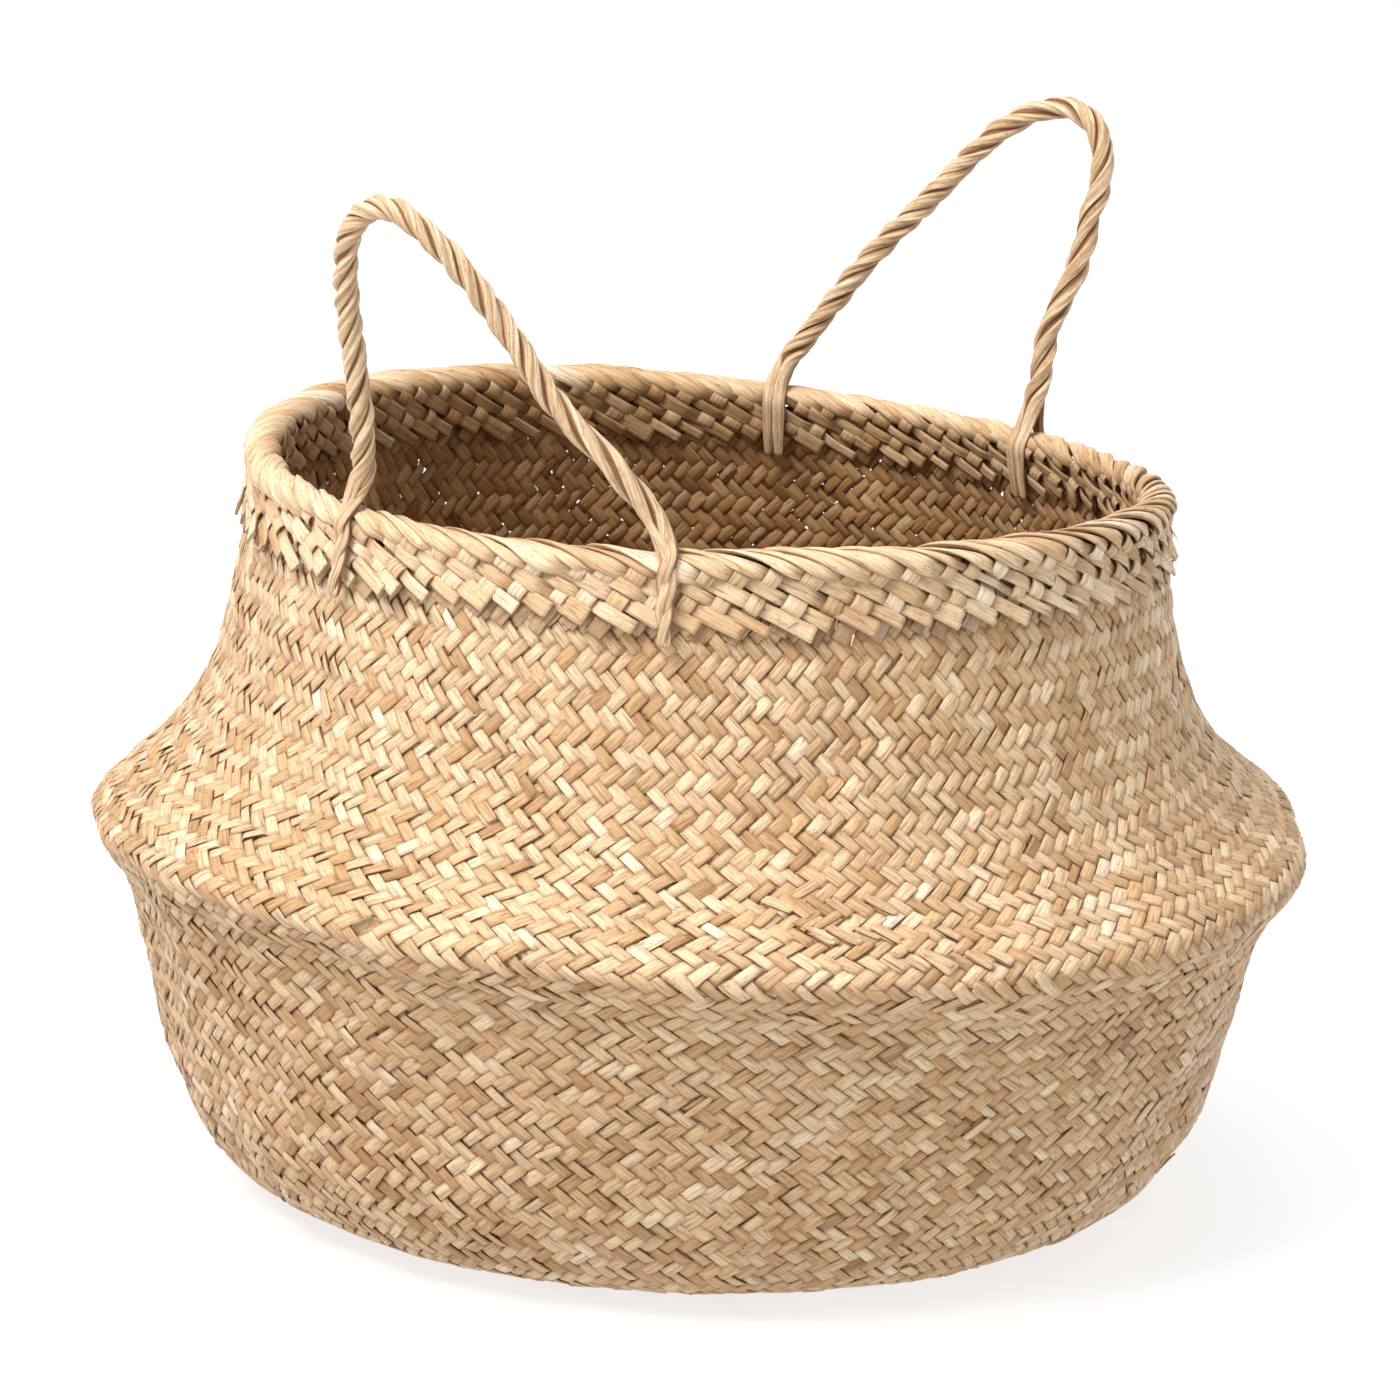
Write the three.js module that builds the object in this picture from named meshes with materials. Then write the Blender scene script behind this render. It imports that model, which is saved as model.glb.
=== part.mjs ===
// A plaited seagrass belly basket with a rolled rim and two twisted rope handles.
// Millimetres, +Z up. The origin is the centre of the base's underside, and -Y is the front.
// Angles run anticlockwise from +X, seen from above. Left and right are as seen from outside.

import * as THREE from 'three';

// ---- Driving dimensions ----

const BASE_RADIUS = 103;          // the flat mat that the basket stands on
const CREASE_RADIUS = 160;        // the sharp fold round the belly, its widest place
const CREASE_HEIGHT = 97;
const SHOULDER_RISE = 47;         // from the fold up to the neck's foot
const NECK_FOOT_RADIUS = 125.2;
const NECK_TOP_RADIUS = 117.2;
const NECK_RISE = 41.2;           // from the neck's foot up to the underside of the rolled edge
const WALL = 2.4;                 // two layers of flattened seagrass
const CLEARANCE = 0.3;            // between neighbouring pieces

const BAND_THICKNESS = 2.2;       // strand ends plaited back down each side of the mouth
const OUTER_BAND_HEIGHT = 13;
const INNER_BAND_HEIGHT = 11;
const EDGE_HALF_WIDTH = 4.2;      // the rolled edge, which is a little wider than high
const EDGE_HALF_HEIGHT = 3.1;

const ROPE_DIAMETER = 6;
const ROPE_LIFT = 0.9;            // a folded rope passes this far above the rolled edge
const TAIL_WIDTH = 4.6;           // a flattened ply of the rope
const TAIL_THICKNESS = 1.8;
const TAIL_DROP = 2;              // a tail ends this far below its band

// The hand-made shape: how far the fold, the rim and the mouth wander from level.
const CREASE_WAVE = 3.9;
const RIM_WAVE = -2.5;
const RIM_TILT = 3.8;

// The lower wall's outline: inset from the fold's radius, and share of the fold's height.
const LOWER_WALL_BEND = [
  [38, 0.08], [24.7, 0.27], [18.5, 0.48], [12.1, 0.74], [8, 0.87], [2.3, 0.95],
];

// The shoulder's outline: share of the way out from the neck to the fold, and share of its rise.
const SHOULDER_BEND = [[0.92, 0.1], [0.78, 0.19], [0.55, 0.32], [0.31, 0.51], [0.12, 0.745]];

// Each handle: its middle's angle, half the angle between its feet, its lean outwards, its height,
// and its arch as shares of half the distance between the feet and of the height.
const HANDLES = [
  {
    name: 'front_handle',
    middle: -116,
    halfSpread: 21.5,
    lean: 14,
    height: 78,
    arch: [
      [-1, 0], [-0.95, 0.16], [-0.94, 0.38], [-0.945, 0.67], [-0.9, 0.87], [-0.79, 0.965],
      [-0.62, 1], [-0.43, 0.95], [-0.22, 0.85], [0.06, 0.65], [0.34, 0.41], [0.7, 0.21], [1, 0],
    ],
  },
  {
    name: 'back_handle',
    middle: 61.2,
    halfSpread: 19.8,
    lean: 14,
    height: 86,
    arch: [
      [-1, 0], [-1.03, 0.16], [-1.03, 0.28], [-1.11, 0.41], [-1.19, 0.53], [-1.22, 0.67],
      [-1.26, 0.79], [-1.24, 0.885], [-1.15, 0.96], [-0.99, 1], [-0.79, 0.99], [-0.57, 0.94],
      [-0.37, 0.86], [0, 0.655], [0.4, 0.43], [0.73, 0.2], [1, 0],
    ],
  },
];

const SIDES_ROUND = 60;           // facets round the basket, a multiple of four
const STEPS_PER_BEND = 2;         // facets between two points of a wall's outline
const EDGE_SIDES = 8;
const ROPE_SIDES = 8;
const ROPE_STEPS = 48;

const STRAW = { colour: 0xdcb98c, roughness: 0.62 };
const SHADED_STRAW = { colour: 0xb98f5f, roughness: 0.7 };
const ROPE_STRAW = { colour: 0xd9b07c, roughness: 0.55 };

// ---- Values worked out from the driving dimensions ----

const NECK_FOOT_HEIGHT = CREASE_HEIGHT + SHOULDER_RISE;
const WALL_TOP_HEIGHT = NECK_FOOT_HEIGHT + NECK_RISE;
const RIM_RADIUS = NECK_TOP_RADIUS - WALL / 2;
const EDGE_HEIGHT = WALL_TOP_HEIGHT + CLEARANCE + EDGE_HALF_HEIGHT;
const RIM_TOP_HEIGHT = EDGE_HEIGHT + EDGE_HALF_HEIGHT;
const FOOT_HEIGHT = RIM_TOP_HEIGHT + ROPE_LIFT + ROPE_DIAMETER / 2;
const NECK_SLOPE = (NECK_TOP_RADIUS - NECK_FOOT_RADIUS) / NECK_RISE;

const radians = THREE.MathUtils.degToRad;
const mix = THREE.MathUtils.lerp;
const clamp = THREE.MathUtils.clamp;

// The height of a point of the basket once its fold and rim have wandered from level.
function handMadeHeight(radius, height, angle) {
  const below = clamp(height / CREASE_HEIGHT, 0, 1);
  const above = Math.max(0, (height - CREASE_HEIGHT) / (RIM_TOP_HEIGHT - CREASE_HEIGHT));
  const wave = mix(CREASE_WAVE * below, RIM_WAVE, above) * Math.sin(2 * angle);
  const tilt = RIM_TILT * above * (radius / RIM_RADIUS) * Math.cos(angle);
  return height + wave - tilt;
}

// The place of a point given by its radius, level height and angle.
function place(radius, height, angle) {
  const z = handMadeHeight(radius, height, angle);
  return new THREE.Vector3(radius * Math.cos(angle), radius * Math.sin(angle), z);
}

// The outer radius of the neck's wall at a height.
function neckRadius(height) {
  return NECK_FOOT_RADIUS + NECK_SLOPE * (height - NECK_FOOT_HEIGHT);
}

function material(look) {
  return new THREE.MeshStandardMaterial({
    color: look.colour,
    roughness: look.roughness,
    metalness: 0,
  });
}

function piece(name, geometry, look) {
  const mesh = new THREE.Mesh(geometry, material(look));
  mesh.name = name;
  return mesh;
}

// A piece turned round the basket's axis from an outline of [radius, height] points.
function turned(name, outline, look) {
  const points = outline.map(([radius, height]) => new THREE.Vector2(radius, height));
  const geometry = new THREE.LatheGeometry(points, SIDES_ROUND);
  geometry.rotateX(Math.PI / 2);
  const position = geometry.attributes.position;
  for (let i = 0; i < position.count; i += 1) {
    const x = position.getX(i);
    const y = position.getY(i);
    const z = handMadeHeight(Math.hypot(x, y), position.getZ(i), Math.atan2(y, x));
    position.setZ(i, z);
  }
  return piece(name, geometry, look);
}

// The closed outline of a wall of even thickness inside an outer line that runs upwards.
function wallOutline(outer, thickness) {
  const inner = outer.map(([radius, height], i) => {
    const [fromRadius, fromHeight] = outer[Math.max(i - 1, 0)];
    const [toRadius, toHeight] = outer[Math.min(i + 1, outer.length - 1)];
    const length = Math.hypot(toRadius - fromRadius, toHeight - fromHeight);
    const outwards = (toHeight - fromHeight) / length;
    const upwards = (fromRadius - toRadius) / length;
    const isEnd = i === 0 || i === outer.length - 1;
    return isEnd
      ? [radius - thickness / outwards, height]
      : [radius - thickness * outwards, height - thickness * upwards];
  });
  return [...outer, ...inner.reverse(), outer[0]];
}

// ---- The plaited body ----

function baseMat() {
  const edge = BASE_RADIUS - CLEARANCE;
  return turned('base_mat', [[0, 0], [edge, 0], [edge, WALL], [0, WALL]], STRAW);
}

// A smooth line through the points of a wall's outline.
function smoothLine(outline) {
  const curve = new THREE.SplineCurve(outline.map(([radius, z]) => new THREE.Vector2(radius, z)));
  const steps = (outline.length - 1) * STEPS_PER_BEND;
  return curve.getPoints(steps).map((point) => [point.x, point.y]);
}

// The wall starts flat beside the base mat, so its first inner point is straight above its first
// outer one.
function lowerWall() {
  const bends = LOWER_WALL_BEND.map(([inset, share]) => [CREASE_RADIUS - inset, CREASE_HEIGHT * share]);
  const fold = [CREASE_RADIUS, CREASE_HEIGHT - CLEARANCE / 2];
  const outline = wallOutline(smoothLine([[BASE_RADIUS, 0], ...bends, fold]), WALL);
  outline[outline.length - 2] = [BASE_RADIUS, WALL];
  return turned('lower_wall', outline, SHADED_STRAW);
}

function shoulderWall() {
  const fold = [CREASE_RADIUS, CREASE_HEIGHT + CLEARANCE / 2];
  const top = [NECK_FOOT_RADIUS, NECK_FOOT_HEIGHT - CLEARANCE / 2];
  const bends = SHOULDER_BEND.map(([out, up]) => [mix(top[0], fold[0], out), mix(fold[1], top[1], up)]);
  return turned('shoulder_wall', wallOutline(smoothLine([fold, ...bends, top]), WALL), STRAW);
}

function neckWall() {
  const foot = NECK_FOOT_HEIGHT + CLEARANCE / 2;
  const outer = [[neckRadius(foot), foot], [NECK_TOP_RADIUS, WALL_TOP_HEIGHT]];
  return turned('neck_wall', wallOutline(outer, WALL), STRAW);
}

// ---- The rim ----

// A band beside the neck's wall. Its outer face is this far outside the wall's outer face.
function rimBand(name, height, outerOffset, look) {
  const foot = WALL_TOP_HEIGHT - height;
  const outer = [[neckRadius(foot) + outerOffset, foot], [NECK_TOP_RADIUS + outerOffset, WALL_TOP_HEIGHT]];
  return turned(name, wallOutline(outer, BAND_THICKNESS), look);
}

function rimEdge() {
  const outline = [];
  for (let i = 0; i <= EDGE_SIDES; i += 1) {
    const turn = (2 * Math.PI * i) / EDGE_SIDES;
    const radius = RIM_RADIUS + EDGE_HALF_WIDTH * Math.cos(turn);
    outline.push([radius, EDGE_HEIGHT + EDGE_HALF_HEIGHT * Math.sin(turn)]);
  }
  outline[EDGE_SIDES] = outline[0];
  return turned('rim_edge', outline, STRAW);
}

// ---- The rope handles ----

function roundSection(radius, sides) {
  const points = [];
  for (let i = 0; i < sides; i += 1) {
    const turn = (2 * Math.PI * i) / sides;
    points.push(new THREE.Vector2(radius * Math.cos(turn), radius * Math.sin(turn)));
  }
  return new THREE.Shape(points);
}

function footAngles(handle) {
  const left = radians(handle.middle - handle.halfSpread);
  const right = radians(handle.middle + handle.halfSpread);
  return { left, right };
}

function handleRope(handle) {
  const angles = footAngles(handle);
  const left = place(RIM_RADIUS, FOOT_HEIGHT, angles.left);
  const right = place(RIM_RADIUS, FOOT_HEIGHT, angles.right);
  const middle = left.clone().add(right).divideScalar(2);
  const halfChord = right.clone().sub(left).divideScalar(2);
  const lean = radians(handle.lean);
  const outwards = new THREE.Vector3(middle.x, middle.y, 0).normalize();
  const up = new THREE.Vector3(0, 0, Math.cos(lean)).addScaledVector(outwards, Math.sin(lean));
  const points = handle.arch.map(([along, share]) => {
    const point = middle.clone().addScaledVector(halfChord, along);
    return point.addScaledVector(up, share * handle.height);
  });
  const geometry = new THREE.ExtrudeGeometry(roundSection(ROPE_DIAMETER / 2, ROPE_SIDES), {
    steps: ROPE_STEPS,
    extrudePath: new THREE.CatmullRomCurve3(points),
  });
  return piece(`${handle.name}_rope`, geometry, ROPE_STRAW);
}

// A flattened ply that leaves the rope's foot, passes the rolled edge and lies on the band below
// it. edgeFace is its outer face's radius beside the edge, and bandOffset is that face's distance
// from the neck wall's outer face on the band.
function tail(name, angle, edgeFace, bandOffset, bandHeight) {
  const foot = WALL_TOP_HEIGHT - bandHeight - TAIL_DROP;
  const outer = [
    [neckRadius(foot) + bandOffset, foot],
    [NECK_TOP_RADIUS + bandOffset, WALL_TOP_HEIGHT],
    [edgeFace, EDGE_HEIGHT],
    [edgeFace, RIM_TOP_HEIGHT],
  ];
  const outline = wallOutline(outer, TAIL_THICKNESS).map(
    ([radius, height]) => new THREE.Vector2(radius, handMadeHeight(radius, height, angle)),
  );
  const shape = new THREE.Shape(outline.slice(0, -1));
  const geometry = new THREE.ExtrudeGeometry(shape, { depth: TAIL_WIDTH, bevelEnabled: false });
  geometry.translate(0, 0, -TAIL_WIDTH / 2);
  geometry.rotateX(Math.PI / 2);
  geometry.rotateZ(angle);
  return piece(name, geometry, ROPE_STRAW);
}

// A tail clears both the edge and the top of its band, whichever stands further out.
function outerTail(name, angle) {
  const bandOffset = CLEARANCE + BAND_THICKNESS + CLEARANCE + TAIL_THICKNESS;
  const pastEdge = RIM_RADIUS + EDGE_HALF_WIDTH + CLEARANCE + TAIL_THICKNESS;
  const edgeFace = Math.max(pastEdge, NECK_TOP_RADIUS + bandOffset);
  return tail(name, angle, edgeFace, bandOffset, OUTER_BAND_HEIGHT);
}

function innerTail(name, angle) {
  const bandOffset = -WALL - CLEARANCE - BAND_THICKNESS - CLEARANCE;
  const pastEdge = RIM_RADIUS - EDGE_HALF_WIDTH - CLEARANCE;
  const edgeFace = Math.min(pastEdge, NECK_TOP_RADIUS + bandOffset);
  return tail(name, angle, edgeFace, bandOffset, INNER_BAND_HEIGHT);
}

function handleTails(handle) {
  const tails = [];
  for (const [foot, angle] of Object.entries(footAngles(handle))) {
    tails.push(outerTail(`${handle.name}_${foot}_outer_tail`, angle));
    tails.push(innerTail(`${handle.name}_${foot}_inner_tail`, angle));
  }
  return tails;
}

// ---- The whole basket ----

const group = new THREE.Group();
group.add(baseMat(), lowerWall(), shoulderWall(), neckWall());
group.add(rimBand('rim_band_outer', OUTER_BAND_HEIGHT, CLEARANCE + BAND_THICKNESS, STRAW));
group.add(rimBand('rim_band_inner', INNER_BAND_HEIGHT, -WALL - CLEARANCE, SHADED_STRAW));
group.add(rimEdge());
for (const handle of HANDLES) {
  group.add(handleRope(handle), ...handleTails(handle));
}

export default group;
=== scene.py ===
import math

import bpy
import numpy as np
from mathutils import Matrix, Vector


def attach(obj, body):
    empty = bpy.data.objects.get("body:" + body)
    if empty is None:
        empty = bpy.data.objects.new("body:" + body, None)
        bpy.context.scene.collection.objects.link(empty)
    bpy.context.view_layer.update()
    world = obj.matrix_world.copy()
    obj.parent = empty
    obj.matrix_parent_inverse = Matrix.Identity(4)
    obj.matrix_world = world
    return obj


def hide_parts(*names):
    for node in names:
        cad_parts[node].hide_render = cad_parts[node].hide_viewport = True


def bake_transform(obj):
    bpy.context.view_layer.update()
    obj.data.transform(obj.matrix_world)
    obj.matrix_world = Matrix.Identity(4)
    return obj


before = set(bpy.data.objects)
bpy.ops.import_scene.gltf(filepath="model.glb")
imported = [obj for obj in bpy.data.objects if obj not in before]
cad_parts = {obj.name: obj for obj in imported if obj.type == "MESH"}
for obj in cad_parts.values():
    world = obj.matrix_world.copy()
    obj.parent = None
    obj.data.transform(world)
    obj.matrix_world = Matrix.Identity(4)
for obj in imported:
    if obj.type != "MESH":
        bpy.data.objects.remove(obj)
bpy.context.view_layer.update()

# ---- Driving dimensions, the same as the CAD model's ----

MM = 0.001
BASE_RADIUS = 103.0
CREASE_RADIUS = 160.0
CREASE_HEIGHT = 97.0
SHOULDER_RISE = 47.0
NECK_FOOT_RADIUS = 125.2
NECK_TOP_RADIUS = 117.2
NECK_RISE = 41.2
WALL = 2.4
CLEARANCE = 0.3
BAND_THICKNESS = 2.2
OUTER_BAND_HEIGHT = 13.0
INNER_BAND_HEIGHT = 11.0
EDGE_HALF_WIDTH = 4.2
EDGE_HALF_HEIGHT = 3.1
ROPE_DIAMETER = 6.0
ROPE_LIFT = 0.9
CREASE_WAVE = 3.9
RIM_WAVE = -2.5
RIM_TILT = 3.8

# The lower wall's outline: inset from the fold's radius, and share of the fold's height.
LOWER_WALL_BEND = [(38, 0.08), (24.7, 0.27), (18.5, 0.48), (12.1, 0.74), (8, 0.87), (2.3, 0.95)]

# The shoulder's outline: share of the way out from the neck to the fold, and share of its rise.
SHOULDER_BEND = [(0.92, 0.1), (0.78, 0.19), (0.55, 0.32), (0.31, 0.51), (0.12, 0.745)]

# Each handle's arch: shares of half the distance between its feet, and of its height. Its pitches are
# the lengths of one turn of its twist at its left foot and at its right foot.
HANDLES = [
    {
        "name": "front_handle",
        "outside_plies": 2,
        "pitches": (20.0, 33.0),
        "middle": math.radians(-116),
        "half_spread": math.radians(21.5),
        "lean": math.radians(14),
        "height": 78.0,
        "arch": [
            (-1, 0), (-0.95, 0.16), (-0.94, 0.38), (-0.945, 0.67), (-0.9, 0.87), (-0.79, 0.965),
            (-0.62, 1), (-0.43, 0.95), (-0.22, 0.85), (0.06, 0.65), (0.34, 0.41), (0.7, 0.21), (1, 0),
        ],
    },
    {
        "name": "back_handle",
        "outside_plies": 1,
        "pitches": (28.0, 30.0),
        "middle": math.radians(61.2),
        "half_spread": math.radians(19.8),
        "lean": math.radians(14),
        "height": 86.0,
        "arch": [
            (-1, 0), (-1.03, 0.16), (-1.03, 0.28), (-1.11, 0.41), (-1.19, 0.53), (-1.22, 0.67),
            (-1.26, 0.79), (-1.24, 0.885), (-1.15, 0.96), (-0.99, 1), (-0.79, 0.99), (-0.57, 0.94),
            (-0.37, 0.86), (0, 0.655), (0.4, 0.43), (0.73, 0.2), (1, 0),
        ],
    },
]

NECK_FOOT_HEIGHT = CREASE_HEIGHT + SHOULDER_RISE
WALL_TOP = NECK_FOOT_HEIGHT + NECK_RISE
RIM_RADIUS = NECK_TOP_RADIUS - WALL / 2
EDGE_HEIGHT = WALL_TOP + CLEARANCE + EDGE_HALF_HEIGHT
RIM_TOP = EDGE_HEIGHT + EDGE_HALF_HEIGHT
FOOT_HEIGHT = RIM_TOP + ROPE_LIFT + ROPE_DIAMETER / 2
NECK_SLOPE = (NECK_TOP_RADIUS - NECK_FOOT_RADIUS) / NECK_RISE

# ---- The plait ----

STRANDS = 176  # strands each way round the basket
STRAND_WIDTH = 3.2
STRAND_HALF_THICKNESS = 0.42
STRAND_FILL = 1.05  # a strand's width over the space that it has
STRAND_LEAN = 0.1  # one edge of each strand lies a little over its neighbour
WALL_WIDTHS = (0.74, 1.2)  # the narrowest and widest strands, as shares of the usual width
THICKNESSES = (0.7, 1.4)  # the thinnest and thickest, as shares of the usual thickness
WEAVE_LIFT = 0.55  # a float's middle stands this far off the wall's middle
WEAVE_STEEPNESS = 4.0  # how sharply a strand dips under the next
FLOAT = 2  # a strand passes over two strands, then under two
FLOAT_MIDDLE = 0.5  # where the first float's middle is, counted in crossings
FIRST_CHANGE = FLOAT_MIDDLE + FLOAT / 2
CROSSING_LENGTH = 1.06 * STRAND_WIDTH
SLANT_SINES = (0.3, 0.95)  # the least and the most that strands may slant
STRANDS_PER_PIECE = 22

# How much the wall's and the mat's strands differ: from strand to strand, and from float to float.
WALL_SPREAD = {
    "width": (0.11, 0.07),
    "shift": (0.07, 0.05),
    "tilt": (0.10, 0.12),
    "lift": (0.03, 0.06),
    "thickness": (0.12, 0.10),
    "ridge": (0.0, 0.16),
    "tone": (0.13, 0.10),
}
MAT_SPREAD = {
    "width": (0.06, 0.05),
    "shift": (0.04, 0.03),
    "lift": (0.02, 0.05),
    "tilt": (0.05, 0.08),
    "tone": (0.15, 0.10),
}

# A strand's cross-section: place across from -0.5 to 0.5, and share of its half thickness.
STRAND_SECTION = np.array([
    (-0.5, 0.0), (-0.43, 0.84), (0.0, 1.0), (0.43, 0.84),
    (0.5, 0.0), (0.43, -0.84), (0.0, -1.0), (-0.43, -0.84),
])

# Where a strand has cross-sections, counted from each place where it changes side.
STATION_OFFSETS = np.array([-0.32, -0.1, 0.1, 0.32, 1.0])

BELOW_FOLD_PAINTED_SHADE = 0.34  # painted shade: the wall under the fold, which faces down, is painted a little darker and warmer
BELOW_FOLD_BLUR = 4.0
EDGE_FACES_IN = 0.3  # how much painted inside shade a strand's edges get, as a share of facing into the basket
EDGE_PAINTED_SHADOW = 0.5  # painted shadow at a strand's edges

BUMPS = 14  # long waves that make the whole wall uneven
BUMP_LOBES = (2, 26)
BUMP_LENGTHS = (35, 120)
WOBBLE = 0.7  # how uneven they make it
EVEN_FOOT = 30.0  # the wall's foot lies flat, and grows uneven above this length

PROFILE_STEP = 0.5
OUTLINE_STEPS = 12
SOFTENING_SPAN = 4  # softening averages over this many times its reach
FOLD_SOFTNESS = 1.2  # how far the fold of the belly is rounded
UNDER_MAT = 4.0  # the wall's strands start this far in under the mat
FOOT_GAP = 0.25
FOOT_SKIP = 2  # points left out where the wall's foot turns in under the mat

SCATTERED_SPLICES = 90
SCATTER_MARGINS = (12, 14)  # crossings below and above the scattered splices
SEAM_SPLICES = 46
SEAM_START = (0.772, 0.66)  # a seam of splices: share of the way round, and of the way up
SEAM_END = (0.842, 0.50)
SEAM_SPREAD = 0.8
SPLICE_STATIONS = 14
SPLICE_REACHES = (0.85, 1.35)
SPLICE_WIDTHS = (0.45, 0.95)
SPLICE_TAPER = 0.25
SPLICE_SHIFT = 0.13
SPLICE_SKEW = 0.10
SPLICE_TILT = 0.1
SPLICE_DIP = 0.5
SPLICE_DIVES = (-0.8, 1.0)  # a splice's ends go down by such a share of that dip, or stand up
SPLICE_THINNESS = 0.55
SPLICE_SINK = 0.1

MAT_OVERLAP = 1.0  # the mat's strands end this far out over the wall's foot
MAT_RAGGEDNESS = 0.004
MAT_WIDTHS = (0.8, 1.06)
MAT_STATIONS = 164
MAT_GAP = 0.05
MAT_RISE = 1.0  # the mat's edge climbs onto the foot of the wall
MAT_RISE_REACH = 8.0

# ---- The rim ----

WRAPS = STRANDS // 2  # pairs of strands, rolled together over the mouth's edge
WRAPS_PER_PIECE = 44
WRAP_STATIONS = 72
WRAP_HALF_THICKNESS = 0.45
WRAP_LIFT = 0.55
WRAP_STARTS = (0.6, 3.0)  # how far past the inner band's foot the wraps start
WRAP_STOPS = (-3.8, -1.2)  # where they end, counted from the outer band's foot: short of it
WRAP_WIDTHS = (0.66, 1.3)
WRAP_SWELL = 0.14
SWELL_LENGTHS = (2.5, 5.0)
LUMP_LENGTHS = (3.0, 6.0)
WRAP_TILT = 0.22
DOUBLED_SHARE = 0.35  # wraps whose two strands still show, with a groove between them
DOUBLED_GROOVE = 0.225
PLAIN_GROOVE = 0.06
CURLED_SHARE = 0.12  # wraps whose outer end curls away from the wall
CURLS = (1.2, 2.3)
FLARES = (0.0, 1.0)  # how far the other wraps' ends stand off it
FLARE_LENGTH = 3.5

# How much the wraps differ from one to the next.
WRAP_SPREAD = {
    "row": 0.35,
    "width": 0.16,
    "edge_width": 0.14,
    "aside": 0.35,
    "slant": 0.03,
    "lump": 0.42,
    "lift": 0.16,
    "tilt": 0.16,
    "thickness": 0.15,
}

BAND_SLANT = math.radians(27)
EDGE_SLANT = math.radians(20)
EDGE_REACH = 5.5  # the edge's share of the section, either side of its top
EDGE_OVERLAP = 0.3  # how much wider than their spacing the wraps are over the edge
EDGE_LIFT = 0.2
EDGE_TILT = 0.42
EDGE_BULK = 0.5  # how much thicker the wraps are over the edge
EDGE_ARC = np.radians(np.arange(200, -21, -10))
BAND_TOP_GAP = 1.0  # the bands' sections end this far under the wall's top
FOOT_SPARE = 8.0  # the rim's section runs on this far below the feet of its bands
RIM_SOFTNESS = 0.8

CROSS_ROWS = (6.7, 13.2)  # distances from the rim's top where a crossing strand shows
CROSS_REACH = 1.65
CROSS_OVERREACH = 1.1  # a crossing strand is up a little longer than the wraps are down
CROSS_LIFT = 0.8
CROSS_STATIONS = 40
CROSS_SHIFT = 2  # a crossing strand shows in every second wrap of the next row
CROSS_WIDTH = 4.3
CROSS_WIDTHS = (0.75, 1.2)
CROSS_HALF_THICKNESS = 0.4
CROSS_START = 2.5
CROSS_STOPS = (-2.6, 1.4)  # where they end, counted from the band's foot
CROSS_SPREAD = {"width": 0.12, "turn": 0.12, "lift": 0.08, "tilt": 0.12}

# A wrap's cross-section, finer than a strand's.
RIBBON_SECTION = np.array([
    (-0.5, 0.0), (-0.46, 0.8), (-0.26, 1.0), (0.0, 1.0), (0.26, 1.0), (0.46, 0.8),
    (0.5, 0.0), (0.46, -0.8), (0.26, -1.0), (0.0, -1.0), (-0.26, -1.0), (-0.46, -0.8),
])

FRAYED_TURN = math.radians(-8)
FRAYED_SPREAD = 0.22
FRAYED_FIBRES = 18
LOOSE_FIBRES = 34
FIBRE_STATIONS = 12
FIBRE_SIDES = 6
FIBRE_LENGTHS = (1.5, 4.5)
FIBRE_SIZES = (0.12, 0.4)
FIBRE_FLATNESS = (0.3, 0.8)
FIBRE_TAPER = 0.75
FIBRE_CURL = 0.5
FIBRE_LEAN = 0.35  # how far the fibres lean out from the wall
FIBRE_RISE = (0.1, 0.6)  # how they rise: the usual, and how much it differs
CURL_OUT = (-0.6, 0.3)
CURL_RISE = (-0.3, 0.6)
EDGE_ROOT = -0.6  # where their roots are, off the rolled edge and off the neck
BAND_ROOT = 2.6

# ---- The ropes ----

PLIES = 3
PLY_RADIUS = 1.56  # half a ply's thickness
PLY_HALF_WIDTH = 1.72
PLY_CENTRE = 1.56  # the plies' distance from the rope's middle
PLY_SIDES = 28
PLY_STEP = 0.8
ARCH_STEPS = 24

# The folds along a ply: depth as a share of its size, how many go round it, and length of their twist.
PLY_FOLDS = [(0.10, 3, 9.0), (0.09, 5, -14.0), (0.06, 8, 23.0)]

# How the plies swell, as a share of their size, and how the twist runs ahead, in turns, with lengths.
PLY_SWELLS = [(0.05, 5.3), (0.03, 2.1)]
TWIST_DRIFTS = [(0.2, 29.0), (0.05, 11.0)]

LOOSE_FOOT = 5.0  # the twist ends this far above its foot, and the plies part
TAIL_HALF_THICKNESS = 0.9
TAIL_HALF_WIDTH = 1.8
TAIL_DROP = 2.0
TAIL_BULGE = 0.4  # a tail stands this far off the middle of the band
TAIL_SPREAD = 1.5  # two plies lie side by side inside the mouth
TAIL_STEPS = 8
TAIL_TOP_SHARE = 0.75  # where a tail leaves the rolled edge, and how far above it
TAIL_TOP_RISE = 1.2
PAIR_RADIUS = 0.75  # two plies wind round each other down the outside
PAIR_PITCH = 15.0
PAIR_FLATNESS = 0.6
TAPER = 30.0  # the plies grow thinner this close to their ends
END_SIZE = 0.55
END_ROUNDING = 1.5
END_BLUNTNESS = 0.2
FOOT_SOFTNESS = 1.3

# ---- Looks ----

# Each kind's tone on the way from the darkest blades to the palest, and how much it differs.
TONES = {
    "wraps": (0.62, 0.13),
    "crossings": (0.64, 0.16),
    "splices": (0.48, 0.13),
    "fibres": (0.60, 0.15),
    "ropes": (0.63, 0.07),
}
WOVEN_TONE = 0.5  # of the wall and the mat
WRAP_TONE_WAVE = 0.1
WRAP_TONE_LENGTHS = (2, 5)

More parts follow.
